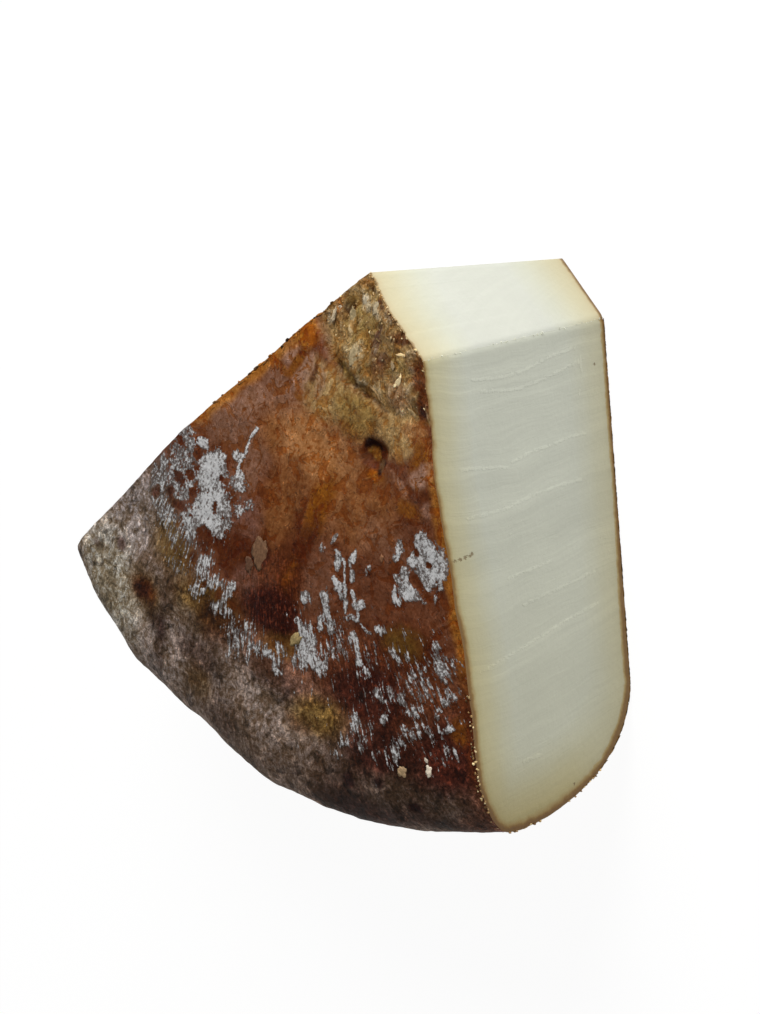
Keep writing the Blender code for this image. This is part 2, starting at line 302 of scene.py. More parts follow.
DISC_PATCHES = (
    (OLIVE, (30, -6), (9, 8), 0, 0.7, 0.5), (DARK_OLIVE, (33, 6.5), (3.5, 2.2), 0, 0.5, 0.5),
    (PLUM, (31, 0), (4.4, 1.5), 0, 0.8, 0.4), (PLUM, (37, 3), (3.4, 2.2), 0, 0.85, 0.4),
    (BLACK_BROWN, (30, 0), (2.4, 0.6), 0, 0.5, 0.4), (PLUM, (34, 4), (2, 2.5), 0, 0.4, 0.5),
    (BLACK_BROWN, (28, -13), (1.8, 1.6), 0, 0.7, 0.4), (BLACK_BROWN, (29.6, 9), (1, 1.8), 0, 0.9, 0.3),
    (DEEP_AMBER, (29.6, 14.6), (1.8, 4), 10, 0.9, 0.4), (DEEP_AMBER, (26, 9), (1.6, 4.8), 20, 0.9, 0.4),
    (RED_EDGE, (32.5, 18), (2.4, 2.4), 0, 0.9, 0.4), (RED_EDGE, (37.5, 21), (4.5, 2), 12, 0.9, 0.3),
    (RED_EDGE, (29, 14.8), (3, 1.6), 20, 0.7, 0.4), (BLACK_BROWN, (21.3, -7.6), (0.8, 2.4), 0, 0.6, 0.4),
    (DEEP_AMBER, (22.8, -2.4), (0.9, 2), 0, 0.7, 0.4), (DEEP_AMBER, (23.6, 2.6), (1, 2.2), 10, 0.7, 0.4),
    (DARK_RED, (38.6, 21.3), (1.2, 1), 0, 0.9, 0.3), (DEEP_AMBER, (36.8, 16), (1.4, 2), 0, 0.6, 0.4),
    (PALE_FLAKE_AND_HIGHLIGHT, (25, -8), (1.8, 2.4), 0, 0.6, 0.3), (PALE_FLAKE_AND_HIGHLIGHT, (24.6, -2.6), (1.4, 1.8), 0, 0.5, 0.3),
    (PALE_FLAKE_AND_HIGHLIGHT, (32.5, -17), (3.6, 1.8), -30, 0.8, 0.3), (BRIGHT_AMBER, (29, -16), (2, 1.2), 0, 0.6, 0.4),
    (OLIVE, (33, 10), (4, 3.4), 0, 0.6, 0.5), (PALE_FLAKE_AND_HIGHLIGHT, (37.4, -5.4), (3.4, 2.2), 0, 0.45, 0.4),
    (PALE_FLAKE_AND_HIGHLIGHT, (32, -10.5), (3.5, 0.8), 20, 0.35, 0.4), (TAN, (35.5, -13), (2.8, 4), 0, 0.8, 0.3),
    (TAN, (39.5, 10), (4.5, 8), 0, 0.8, 0.5), (PALE_MAUVE, (39, 12), (3, 4), 0, 0.5, 0.5),
    (DARK_OLIVE, (42, -5), (2.4, 7), 0, 0.8, 0.4), (PALE_FLAKE_AND_HIGHLIGHT, (41.6, 1.6), (0.45, 4), 0, 0.5, 0.4),
    (AMBER, (30, -13.5), (1.4, 1), 0, 0.4, 0.4), (TAN, (29, 12), (2.4, 3), 20, 0.5, 0.4),
    (DARK_OLIVE, (26, -14), (3, 1.5), -30, 0.5, 0.4),
)

DISC_CENTRE = (3.0, 5.3)
DISC_RADIUS = 41.5
DISC_EDGE = (-1.2, 1.6)
CRACK_WIDTH = 0.45
CRACK_MIDDLE = -2.0
CRACK_FADES = (17.5, 12.0)
CRACK_BREAKS = (-0.25, 0.15)
from_disc = np.hypot(frayed_along - DISC_CENTRE[0], frayed_across - DISC_CENTRE[1]) - DISC_RADIUS
in_disc = 1.0 - smooth_step(*DISC_EDGE, from_disc)
from_near_cut = travelled * np.sin(WEDGE_ANGLE * turns)[:, None] * 1000.0
from_far_cut = travelled * np.sin(WEDGE_ANGLE * (1.0 - turns))[:, None] * 1000.0

tone = np.empty(skin.shape[:2] + (3,))
tone[:] = RED_BROWN


def paint(colour, mask):
    """Lays a colour over the rind wherever the mask is above 0."""
    tone[:] += (colour - tone) * np.clip(mask, 0.0, 1.0)[:, :, None]


for colour, place, size, heading, strength, soft in RIND_PATCHES:
    paint(colour, strength * patch(place, size, heading, soft))
paint(TAN, 0.9 * in_disc)
for colour, place, size, heading, strength, soft in DISC_PATCHES:
    paint(colour, strength * in_disc * patch(place, size, heading, soft))

crack = np.exp(-((from_disc / CRACK_WIDTH) ** 2))
crack *= smooth_step(*CRACK_FADES, np.abs(across - CRACK_MIDDLE))
crack *= smooth_step(*CRACK_BREAKS, coarse[:, :, 0] + 0.5 * fine[:, :, 0])
# The crack's dark line is painted shade in its narrow groove
paint(BLACK_BROWN, 0.75 * crack)

# Bare bands beside the cuts, each with where it begins and where it ends along the wedge
near_band = smooth_step(3.4, 1.0, from_near_cut + 0.8 * coarse[:, :, 0])
far_band = smooth_step(3.6, 1.2, from_far_cut + 1.1 * coarse[:, :, 1])
for colour, strength, band, begins, ends in (
    (BRIGHT_AMBER, 0.70, near_band, (40.0, 55.0), (97.0, 85.0)),
    (DEEP_AMBER, 0.70, near_band, (80.0, 95.0), (118.0, 108.0)),
    (BRIGHT_AMBER, 0.75, far_band, (38.0, 44.0), (80.0, 72.0)),
):
    paint(colour, strength * band * smooth_step(*begins, along) * smooth_step(*ends, along))

# The part of the rind that is out of sight, under the rim and on the base
UNDERSIDE_BEGINS = (145.0, 165.0)
under = smooth_step(*UNDERSIDE_BEGINS, 1000.0 * travelled)
paint(GREY_BROWN, under)


# The white mould
# A dry bloom that grew over the oiled rind and was brushed off again in streaks, so it is left
# in patches, strokes and slanting hatches. 1 is full cover, and noise breaks up what is less.
BLOOM_PATCHES = (
    # The patch by the far cut, and the band that trails from it
    ((84, -36), (5.5, 4.5), 0, 1.0), ((91, -33), (7, 4.8), 0, 1.0), ((97, -36), (4.5, 6), 10, 0.85),
    ((90, -45), (9, 6), 0, 0.66), ((80.5, -47), (4, 4.5), -30, 0.6), ((78.5, -41.5), (0.9, 1.8), 0, 1.0),
    ((96, -53), (5.5, 2), 25, 0.75), ((100, -46), (4, 5), 0, 0.7), ((91, -27.5), (5.5, 3.2), 0, 0.62),
    ((95, -28), (1.8, 2.4), 0, 0.8), ((81, -27.5), (2.2, 3), 30, 0.7), ((75.6, -30.6), (1.3, 1.4), 0, 0.9),
    ((84, -22), (1.4, 1.6), 0, 0.6), ((78.6, -34), (0.8, 0.8), 0, 0.8), ((86, -25), (3, 2), 20, 0.5),
    ((97, -47), (7, 6), 0, 0.55), ((84, -48), (7, 4), -20, 0.55), ((102, -38), (5, 6), 0, 0.55),
    ((93, -51), (7, 2), 15, 0.7), ((88, -30), (4, 4), 0, 0.75), ((99, -31), (4, 4), 0, 0.6),
    ((104, -29.5), (3.4, 2.6), 0, 0.9), ((106.5, -25), (2.2, 5), 10, 0.75),
    ((110.5, -29), (2.6, 2.4), 0, 0.8), ((107, -20), (2.6, 2.6), 0, 0.8),
    ((104, -18.6), (1.3, 1.1), 0, 0.9), ((110.5, -20), (2.6, 4.2), 10, 0.7),
    ((113, -12), (4, 7.5), 15, 0.66), ((117.5, -13), (3.6, 2.4), 0, 0.62), ((113.5, -5), (2, 3.4), 0, 0.8),
    ((117, -8), (2.2, 1.2), 0, 0.7), ((113, -1), (1.6, 2.2), 0, 0.7), ((110.5, 0), (1.2, 2.4), -30, 0.7),
    ((114.5, 1.4), (2.2, 1.8), 20, 0.8), ((102, -43), (3.4, 4), 0, 0.55), ((108, -37), (2.2, 7), 5, 0.45),
    # The patch in the middle, and the strokes above it
    ((107, 8), (4.8, 4.2), 0, 1.0), ((103, 6.5), (2.4, 2), 30, 1.0), ((110.8, 6.6), (1.8, 3), 0, 0.85),
    ((104, 14.5), (3, 4.6), 20, 0.64), ((101, 16.5), (3.6, 3.6), 30, 0.6),
    ((108.5, 13), (2.4, 2.2), 0, 0.8), ((98.6, 9.6), (2.2, 1.1), 0, 0.85), ((98, 15), (3, 2), 40, 0.6),
    ((98.5, 20), (2, 3), 40, 0.55), ((95, 3.4), (1.2, 1.3), 0, 0.85), ((79.5, 14), (1.9, 0.8), 0, 1.0),
    ((83, 10), (2, 1), 0, 0.9), ((83.5, 15.6), (2, 0.8), 0, 0.8), ((89, 19.4), (1.1, 2.1), 30, 0.95),
    ((91.2, 28), (1.0, 1.7), 10, 1.0), ((82.6, 30), (1.4, 1.3), 0, 1.0), ((81, 28.4), (1.8, 0.45), 0, 0.9),
    ((79.6, 20), (1.3, 0.7), 0, 0.85), ((78.6, 7), (1.2, 0.6), 0, 0.8), ((82, 4.3), (1.4, 0.5), -10, 0.7),
    ((94, 34), (0.9, 2.4), 0, 0.7), ((88, 12.6), (1.2, 1.6), 30, 0.8), ((93, 18), (0.8, 1.8), 10, 0.7),
    # The patch by the near cut
    ((66.6, 33), (2.6, 3.4), 0, 0.95), ((69, 37), (4.6, 4.6), 0, 1.0), ((73, 36), (2.6, 3.8), 0, 0.85),
    ((65.6, 38), (1.6, 2), 0, 0.7), ((71, 26.6), (1.7, 0.85), 0, 1.0), ((73.6, 26.4), (0.8, 1.2), 0, 0.8),
    ((71.5, 31), (2.4, 1.6), 0, 0.9), ((76, 30), (1.8, 1.3), 0, 0.75), ((79, 32), (2, 2.8), 0, 1.0),
    ((78.4, 36), (0.9, 2), 0, 0.75), ((73, 41), (1.8, 0.9), 0, 0.7), ((76.4, 40.4), (1.2, 0.5), 0, 0.6),
    # The hatched field
    ((98, 43), (4.5, 6), 45, 0.6), ((97.5, 50), (3.6, 4), 45, 0.6), ((90, 48.6), (2.8, 3.2), 30, 0.72),
    ((87, 45), (1.3, 0.7), 30, 0.9), ((93.5, 44), (1.4, 1), 0, 0.75), ((95.6, 53), (0.9, 2.2), 0, 0.8),
    ((102.5, 38), (2.2, 5), 20, 0.6), ((105, 33.4), (1.3, 2.6), 0, 0.7), ((103.6, 44), (2.2, 4), 40, 0.68),
    ((107.4, 47), (1.8, 4), 30, 0.68), ((102.4, 55.6), (0.9, 1), 0, 1.0),
    ((109.4, 36.8), (1.5, 1), 0, 0.85), ((110.6, 43), (2.4, 4), 30, 0.6), ((108.6, 58), (2.4, 4), 0, 0.5),
    ((103.4, 26.6), (1.1, 2.8), 50, 0.8), ((115, 29), (4, 2.6), 30, 0.66),
    ((118.4, 32), (3, 2.4), 30, 0.66), ((120.6, 27), (1.8, 1.5), 0, 0.75),
    ((125, 26), (1.3, 1.8), 0, 0.65), ((116, 42.4), (3.6, 2.4), 30, 0.6),
    ((112.4, 33.4), (1, 1.8), 0, 0.7), ((119, 38), (1.8, 1.4), 20, 0.6), ((99.6, 28.6), (1, 3), 50, 0.55),
    ((93, 38), (1, 1), 0, 0.6),
)
BLOOM_STROKES = (
    (((66.8, -27.4), (70.5, -28.6), (74.6, -28.4)), 0.5), (((74.6, -29.6), (80.6, -28.6)), 0.7),
    (((92.2, 8.6), (99.4, 13.6)), 1.3), (((80.8, 9), (81.8, 12.4), (86.6, 14), (92.4, 15.8)), 0.55),
    (((86.8, 10.4), (89.4, 13.8)), 0.9), (((97, 20), (102, 25)), 1.0), (((92.6, 20), (93.6, 26)), 0.45),
    (((87, 16.6), (91.6, 20.4)), 0.6), (((101, 3), (103.4, 6)), 0.7), (((88, 45.6), (92.4, 49.4)), 0.9),
    (((77, 27.6), (78.6, 30)), 0.7), (((101.6, 50.6), (105.4, 54.4)), 0.6),
)
BLOOM_HOLES = (
    ((82.2, -42), (1.1, 1.5)), ((87, -43), (1.3, 1.5)), ((89.8, -46), (1.3, 1.8)),
    ((90.6, -40), (1.2, 1.4)), ((94.6, -47.4), (1.8, 1.1)), ((95.6, -43), (1.0, 2.8)),
    ((97, -52), (1.5, 1.4)), ((98.4, -32), (3, 1.9)), ((90, -31.6), (1.5, 0.9)),
    ((81.6, -48.4), (0.9, 1.4)), ((104, -33.6), (1.6, 1.2)), ((98, -28.4), (2, 1.2)),
    ((107.6, -22.8), (1.4, 1.2)), ((108, -17.4), (1.2, 1.8)), ((108.4, -28), (1.2, 0.7)),
    ((70, 35.6), (0.9, 0.7)), ((69.4, 31.4), (0.9, 0.8)), ((75.6, 33.8), (0.9, 2)),
    ((95.4, -37.6), (0.5, 1.1)), ((101, -30.6), (0.9, 1.1)), ((83, -32.6), (0.6, 1)),
    ((88, -35), (0.6, 0.6)),
)
BLOOM_SCATTERED = (
    (0.34, (101, 42), (20, 24), 20, 0.5), (0.30, (97, -40), (16, 18), 0, 0.5),
    (0.30, (102, 12), (16, 14), 20, 0.5),
)


def spread(mask, patches):
    """A mask with patches added, each with its strength, place, size, heading and softness."""
    for strength, *where in patches:
        mask = np.maximum(mask, strength * patch(*where))
    return mask


bloom = np.zeros(skin.shape[:2])
for place, size, heading, cover in BLOOM_PATCHES:
    bloom = np.maximum(bloom, cover * patch(place, np.array(size) + 0.3, heading, 0.55))
for points, width in BLOOM_STROKES:
    bloom = np.maximum(bloom, 0.95 * stroke(points, width))
for place, size in BLOOM_HOLES:
    hole = patch(place, size, 0.0, 0.3)
    bloom *= 1.0 - hole
    paint(DEEP_AMBER, 0.8 * hole)
bloom = spread(bloom, BLOOM_SCATTERED) * (1.0 - under)

# Where the rind was brushed, which way, and how rough and how furry it is
BRUSHED_FROM = (35.0, -37.0)
STROKES_ACROSS = 85.0
STROKES_ALONG = 0.16
sweep_turn = np.arctan2(across - BRUSHED_FROM[1], along - BRUSHED_FROM[0])
sweep_reach = np.hypot(across - BRUSHED_FROM[1], along - BRUSHED_FROM[0])
sweep = np.stack([STROKES_ACROSS * sweep_turn, STROKES_ALONG * sweep_reach, np.zeros_like(along)], axis=2)
brushed = smooth_step(45.0, 75.0, sweep_reach) * (1.0 - under)
for place, size in (((72, 35), (9, 9)), ((88, -36), (10, 10)), ((87, 14), (9, 9))):
    brushed *= 1.0 - 0.8 * patch(place, size, 0.0, 0.4)
FUR_BEGINS = (104.0, 118.0)
FUR_CURVE = 0.12
FUR_FRAY = 4.0
FUR_BY_FAR_CUT = (1.0, (106, -57), (17, 13), -30, 0.4)
ROUGH_LEAST = 0.25
ROUGH_IN_DISC = 0.5
ROUGH_PATCHES = (
    (0.75, (106, 30), (14, 34), 15, 0.4), (0.8, (100, -6), (12, 12), 0, 0.4),
    (0.45, (50, 3), (7, 17), 0, 0.5),
)
PLATED_PATCHES = (
    (1.0, (48, -24), (11, 8), 0, 0.4), (1.0, (51, 26), (9, 7), 20, 0.4),
    (0.5, (64, -32), (10, 7), -30, 0.5),
)
CRINKLED_PATCHES = ((0.9, (49, 3), (7, 18), 0, 0.5), (0.5, (90, -40), (13, 11), 0, 0.5))
furry = smooth_step(*FUR_BEGINS, along + FUR_CURVE * np.abs(across) + FUR_FRAY * coarse[:, :, 0])
furry = spread(furry, (FUR_BY_FAR_CUT,))
rough = spread(np.maximum(np.maximum(furry, ROUGH_IN_DISC * in_disc), ROUGH_LEAST), ROUGH_PATCHES)
plated = spread(0.0, PLATED_PATCHES) * (1.0 - in_disc)
crinkled = spread(in_disc, CRINKLED_PATCHES)


# The rind's relief
# The rind swells and sinks gently. Round the wheel's middle it is sunken and craggy, with a crack
# round it, and there is one deep pit. The mould stands a little proud.
DISC_SINK = 0.0012
CRAG_HEIGHT = 0.0016
CRAG_LENGTH = 0.0085
CRAG_FADE = 0.005
CRACK_DEPTH = 0.0007
CRACK_SPREAD = 0.0020
CRACK_END = (0.011, 0.016)
NOTCH_DEPTH = 0.0006
PIT_PLACE = (0.0550, 0.0102)
PIT_SIZE = (0.0029, 0.0033)
PIT_DEPTH = 0.0021
PIT_STEEPNESS = 4
PIT_FACET_RISE = 0.4
SWELL_HEIGHT = 0.0024
SWELL_LENGTH = 0.034
SWELL_SEED = Vector((-3.1, -15.1, 8.8))
LUMP_HEIGHT = 0.0006
LUMP_LENGTH = 0.012
RELIEF_FADE = 0.050
RIPPLE_HEIGHT = 0.00022
RIPPLE_LENGTH = 0.0048
GRAIN_HEIGHT = 0.00013
GRAIN_LENGTH = 0.0019
CRUMPLE_HEIGHT = 0.0004
CRUMPLE_LENGTH = 0.0029
CREASE_DEPTH = 0.0003
CREASE_LENGTHS = (0.0042, 0.0021)
CREASE_SHARES = (1.0, 0.7)
CREASE_SHARPNESS = 7.0
CREASE_BEND = 0.0012
CREASE_BEND_LENGTH = 0.003
BLOOM_HEIGHT = 0.00018

from_cuts = np.minimum(from_near_cut, 1000.0 * (skin[:, :, 0] - skin[:, :1, 0]))
crag_share = smooth_step(0.0, 1000.0 * CRAG_FADE, from_cuts)
relief = np.zeros(skin.shape[:2])
creases = np.zeros(skin.shape[:2])
crumple = np.zeros(skin.shape[:2])
for row, column in np.ndindex(relief.shape):
    height = skin[row, column, 1]
    if height < 1e-6:
        continue
    place = Vector((plan_along[row, column], plan_across[row, column], height))
    rise = SWELL_HEIGHT * noise.noise(place / SWELL_LENGTH + SWELL_SEED)
    rise += LUMP_HEIGHT * noise.noise(place / LUMP_LENGTH)
    rise += RIPPLE_HEIGHT * noise.noise(place / RIPPLE_LENGTH)
    rise += GRAIN_HEIGHT * noise.noise(place / GRAIN_LENGTH)
    inside = in_disc[row, column]
    if inside > 0.0:
        crag = CRAG_HEIGHT * noise.noise(place / CRAG_LENGTH) * crag_share[row, column]
        rise += inside * (crag - DISC_SINK * turns[row])
        bent = place + CREASE_BEND * noise.noise_vector(place / CREASE_BEND_LENGTH)
        crumple[row, column] = inside * noise.noise(bent / CRUMPLE_LENGTH)
        creases[row, column] = inside * max(
            share * max(0.0, 1.0 - CREASE_SHARPNESS * abs(noise.noise(bent / length)))
            for share, length in zip(CREASE_SHARES, CREASE_LENGTHS)
        )
    relief[row, column] = rise
relief += CRUMPLE_HEIGHT * crumple - CREASE_DEPTH * creases
disc_gap = np.hypot(1000 * plan_along - DISC_CENTRE[0], 1000 * plan_across - DISC_CENTRE[1]) - DISC_RADIUS
crack_depth = CRACK_DEPTH * (1.0 - smooth_step(*CRACK_END, plan_across))
relief -= crack_depth * np.exp(-((disc_gap / (1000 * CRACK_SPREAD)) ** 2))
relief -= NOTCH_DEPTH * crack
pit = ((plan_along - PIT_PLACE[0]) / PIT_SIZE[0]) ** PIT_STEEPNESS
pit += ((plan_across - PIT_PLACE[1]) / PIT_SIZE[1]) ** PIT_STEEPNESS
relief -= PIT_DEPTH * np.exp(-pit) * (1.0 - PIT_FACET_RISE * patch((55.6, 10.4), (2.0, 3.0), 30, 0.5))
relief += BLOOM_HEIGHT * smooth_step(0.3, 0.7, bloom)
relief *= smooth_step(0.0, RELIEF_FADE, skin[:, :, 1])
# Painted shade in the creases, and painted highlights on the tops of the crumples
paint(CREASE_SHADE_BROWN, 0.4 * creases)
paint(PALE_FLAKE_AND_HIGHLIGHT, 0.3 * smooth_step(0.05, 0.5, crumple) * (1.0 - creases))

ahead = np.gradient(skin, axis=1)
normals = np.stack([-ahead[:, :, 1], ahead[:, :, 0]], axis=2)
normals /= np.linalg.norm(normals, axis=2, keepdims=True)
rough_skin = skin + normals * relief[:, :, None]
rough_skin[:, 0, 0] = [tip_distance(turn, 1.0) for turn in turns]
rough_skin[:, -1, 0] = [tip_distance(turn, 0.0) for turn in turns]


# The wedge's mesh
# One closed block, divided finely, with each of its points moved to its place on the wedge. The
# rind and the cuts are one piece of cheese, and differ only in what they are made to look like.
def section_grid(row):
    """Points across one section, filled in from its base, rim, top and tip."""
    line = rough_skin[row]
    top = line[: STEPS_ALONG + 1]
    rim = line[STEPS_ALONG : STEPS_ALONG + STEPS_UP + 1][::-1]
    base = line[STEPS_ALONG + STEPS_UP :][::-1]
    u = np.linspace(0.0, 1.0, STEPS_ALONG + 1)[:, None, None] ** TIP_GRADING
    v = np.linspace(0.0, 1.0, STEPS_UP + 1)[None, :, None]
    tip = np.array([(tip_distance(turns[row], rise), rise * top[0, 1]) for rise in v.ravel()])
    sides = (1 - v) * base[:, None] + v * top[:, None] + (1 - u) * tip[None] + u * rim[None]
    corners = (1 - u) * ((1 - v) * tip[0] + v * tip[-1]) + u * ((1 - v) * rim[0] + v * rim[-1])
    return sides - corners


def far_cut_bow(distance, turn):
    """How far a point is carried sideways by the bulge of the far cut."""
    inner = FAR_TIP_CORNERS[1]
    share = np.clip((distance - inner) / (WHEEL_RADIUS + RADIUS_GAIN - inner), 0.0, 1.0)
    rising = np.sin(math.pi / 2 * share / FAR_CUT_BOW_AT)
    falling = np.cos(math.pi / 2 * (share - FAR_CUT_BOW_AT) / (1.0 - FAR_CUT_BOW_AT))
    return FAR_CUT_BOW * np.where(share < FAR_CUT_BOW_AT, rising, falling) * turn ** 3


def outward(azimuth):
    return np.array((math.cos(azimuth), math.sin(azimuth)))


block = bmesh.new()
bmesh.ops.create_cube(block, size=1.0, matrix=Matrix.Translation((0.5, 0.5, 0.5)))
for axis, count in enumerate((STEPS_ALONG, STEPS_AROUND, STEPS_UP)):
    edges = [e for e in block.edges if abs(e.verts[0].co[axis] - e.verts[1].co[axis]) > 0.5]
    bmesh.ops.subdivide_edges(block, edges=edges, cuts=count - 1, use_grid_fill=True)

RIND, LONG_CUT, TIP_CUT = 0, 1, 2
for face in block.faces:
    middle = face.calc_center_median()
    face.smooth = True
    face.material_index = RIND
    if middle.y < 1e-4 or middle.y > 1.0 - 1e-4:
        face.material_index = LONG_CUT
    elif middle.x < 1e-4:
        face.material_index = TIP_CUT
for edge in block.edges:
    edge.smooth = len({face.material_index == RIND for face in edge.link_faces}) == 1

grids = np.array([section_grid(row) for row in range(STEPS_AROUND + 1)])
steps_in_block = np.array([vert.co for vert in block.verts]) * (STEPS_ALONG, STEPS_AROUND, STEPS_UP)
i, j, k = np.round(steps_in_block).astype(int).T
distance, height = grids[j, i, k].T
azimuth, turn = azimuths[j], turns[j]
bow = far_cut_bow(distance, turn)
places = np.column_stack([
    distance * np.cos(azimuth) + bow * np.sin(azimuth),
    distance * np.sin(azimuth) - bow * np.cos(azimuth),
    height,
])
low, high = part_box("cheese_wedge")
AXIS = Vector((
    high[0] + FAR_TIP_CORNERS[0] * math.cos(WEDGE_ANGLE / 2),
    (low[1] + high[1] - places[:, 1].min() - places[:, 1].max()) / 2,
    low[2],
))
places += np.array(AXIS)

# The edges on either side of the tip's cut are worn a little round
WORN_REACH = 0.0016
WORN_DEPTH_NEAR = 0.0004
WORN_DEPTH_FAR = 0.0001
for row, other, worn_depth in ((0, STEPS_AROUND, WORN_DEPTH_NEAR), (STEPS_AROUND, 0, WORN_DEPTH_FAR)):
    here, there = (grids[end][0, :, 0].mean() * outward(azimuths[end]) for end in (row, other))
    inward = outward(azimuths[row]) + (there - here) / np.linalg.norm(there - here)
    inward /= np.linalg.norm(inward)
    line = grids[row][0]
    corner = np.interp(height, line[:, 1], line[:, 0])[:, None] * outward(azimuths[row])
    corner += np.array(AXIS)[:2]
    near_edge = np.clip(1.0 - np.linalg.norm(places[:, :2] - corner, axis=1) / WORN_REACH, 0.0, 1.0)
    places[:, :2] += worn_depth * (near_edge ** 2)[:, None] * inward

# The step along the rind that each point of the mesh sits on, and whether it sits on the rind at all
on_rind = (k == STEPS_UP) | (i == STEPS_ALONG) | (k == 0)
column = np.where(k == STEPS_UP, i, np.where(i == STEPS_ALONG, STEPS_ALONG + STEPS_UP - k, 0))
column = np.where((k == 0) & (i < STEPS_ALONG), 2 * STEPS_ALONG + STEPS_UP - i, column)


def kept(values):
    """A value of the rind for each point of the mesh, and 0 inside the cuts."""
    values = values[j, column]
    values[~on_rind] = 0.0
    return values


# How deep each point of a cut lies under the rind
depth = np.zeros(len(i))
for row in range(STEPS_AROUND + 1):
    cut = np.flatnonzero((j == row) & ((i == 0) | (row in (0, STEPS_AROUND))))
    gaps = np.linalg.norm(grids[row][i[cut], k[cut]][:, None] - rough_skin[row][None], axis=2)
    depth[cut] = 1000.0 * gaps.min(axis=1)

# The paste's layers lean towards the axis lower down. Its lines, nicks and smears are measured in
# millimetres along the near cut from the axis, and down from a little above its top.
LINES_TOP = 70.0
LEAN_AT_TIP = 8.0
LEAN_GAIN = 0.09
LEAN_FROM = (30.0, 12.0)
LEAN_REACH = 48.0
LEAN_POWER = 1.35
TIP_LAYERS = (80.0, 60.0, 1.1)
r = 1000.0 * distance
down = LINES_TOP - 1000.0 * height
lean = LEAN_AT_TIP + LEAN_GAIN * (r - LEAN_FROM[0])
lean *= np.clip((down - LEAN_FROM[1]) / LEAN_REACH, 0.0, None) ** LEAN_POWER
on_tip = (i == 0) & (j > 0)
tip_layers = TIP_LAYERS[0] + TIP_LAYERS[1] * turn - TIP_LAYERS[2] * down
layers = np.column_stack([np.where(on_tip, tip_layers, r + lean), down, r])

PALE_LINES = (
    ((57.4, 13), (56.9, 22), (56.8, 30)),
    ((55.6, 31.5), (55, 34), (53.8, 37), (52.8, 40.5), (52, 44.5), (51, 49), (49.6, 53), (48.6, 60)),
    ((103.6, 15), (100.6, 24), (97.2, 34), (93.6, 44), (91, 52), (88.6, 60)),
    ((36.8, 19), (36, 30), (34.4, 38), (31, 48), (28.6, 58)),
    ((39.4, 22), (38.8, 34), (36.6, 44), (33.4, 54), (31.4, 60)),
    ((68.6, 14), (66.4, 28), (63.4, 38), (61, 48), (59.6, 57)),
    ((88.6, 32), (84.8, 46), (82.6, 54), (81, 60)),
    ((30.4, 60.4), (33, 60), (36, 59.4), (39.4, 58.6)),
    ((82.4, 27), (80.4, 36), (78.4, 44)),
    ((124.4, 28), (123, 35)),
)
DARK_LINES = (
    ((78.2, 8), (77.6, 11.5), (77, 14), (76.4, 16)), ((32.4, 65), (32.5, 65.6)),
    ((130.4, 45.6), (130.5, 46.2)), ((73.2, 62), (74, 61.8)),
)
SMEARS = (
    ((61, 54), (2.2, 5)), ((65.6, 42), (3, 6)), ((73, 46), (3, 4)), ((70.6, 30), (3, 5)),
    ((79, 43), (3, 4)), ((34.6, 36), (1.5, 9)), ((71, 38), (1.6, 1.6)), ((63, 50), (2, 6)),
    ((53, 41), (1.2, 9)), ((44, 22), (6, 4)),
)
FAR_OFF = 9.0
near = j == 0
pale_gap, dark_gap = (
    np.where(near, np.min([line_gap(r, down, line) for line in lines], axis=0), FAR_OFF)
    for lines in (PALE_LINES, DARK_LINES)
)
smeared = np.zeros(len(i))
for place, size in SMEARS:
    reach = np.hypot((r - place[0]) / size[0], (down - place[1]) / size[1])
    smeared = np.maximum(smeared, near * (1.0 - smooth_step(0.4, 1.4, reach)))

rind_tone = np.ones((len(i), 4))
rind_tone[:, :3] = tone[j, column]
layer_kinds = block.verts.layers
for name, kind, values in (
    ("tone", layer_kinds.float_color, rind_tone),
    ("sweep", layer_kinds.float_vector, kept(sweep)),
    ("layers", layer_kinds.float_vector, layers),
    ("bloom", layer_kinds.float, kept(bloom)),
    ("brushed", layer_kinds.float, kept(brushed)),
    ("rough", layer_kinds.float, kept(rough)),
    ("furry", layer_kinds.float, kept(furry)),
    ("plated", layer_kinds.float, kept(plated)),
    ("crinkled", layer_kinds.float, kept(crinkled)),
    ("depth", layer_kinds.float, depth),
    ("pale_gap", layer_kinds.float, pale_gap),
    ("dark_gap", layer_kinds.float, dark_gap),
    ("smeared", layer_kinds.float, smeared),
):
    layer = kind.new(name)
    for vert, value in zip(block.verts, values.tolist()):
        vert[layer] = value
for vert, place in zip(block.verts, places):
    vert.co = place

# The flat of the base is one face, since nothing on it stands up
flat = [face for face in block.faces if all(vert.co.z < AXIS.z + 1e-7 for vert in face.verts)]
bmesh.ops.dissolve_faces(block, faces=flat, use_verts=False)
bmesh.ops.recalc_face_normals(block, faces=block.faces)
wedge_mesh = bpy.data.meshes.new("cheese_wedge_rind_and_paste")
block.to_mesh(wedge_mesh)
block.free()


# The look of the rind
# Oiled rind, with a thin dried film broken over it and pores and wrinkles in it. The film's sheen
# is painted into its colour, as are shade in the creases and highlights on the crests of the
# crinkled skin. The mould is dry and matt, and shows in grains and streaks finer than the mesh.
GAP_TINT = (0.88, 0.62, 0.28, 1.0)
FILM_SHEEN_TINT = (1.12, 1.20, 1.36, 1.0)
FLECK_TINT = (0.80, 0.62, 0.40, 1.0)
WARM_TINT = (1.12, 0.96, 0.74, 1.0)
COOL_TINT = (0.98, 1.0, 1.04, 1.0)
BLOOM_COLOUR = (*albedo(185, 186, 187), 1.0)
BLOOM_SHADE = (*albedo(88, 82, 79), 1.0)
RIND_BUMP = 0.8
RIND_BUMP_HEIGHT = 0.0006
RIND_SHINE = 0.18


def fill(tree, made, inputs):
    """Links fields to a shader node's inputs, and sets the inputs that are plain values."""
    for socket, value in inputs.items():
        if isinstance(value, Field):
            tree.links.new(value.socket, made.inputs[socket])
        else:
            made.inputs[socket].default_value = value


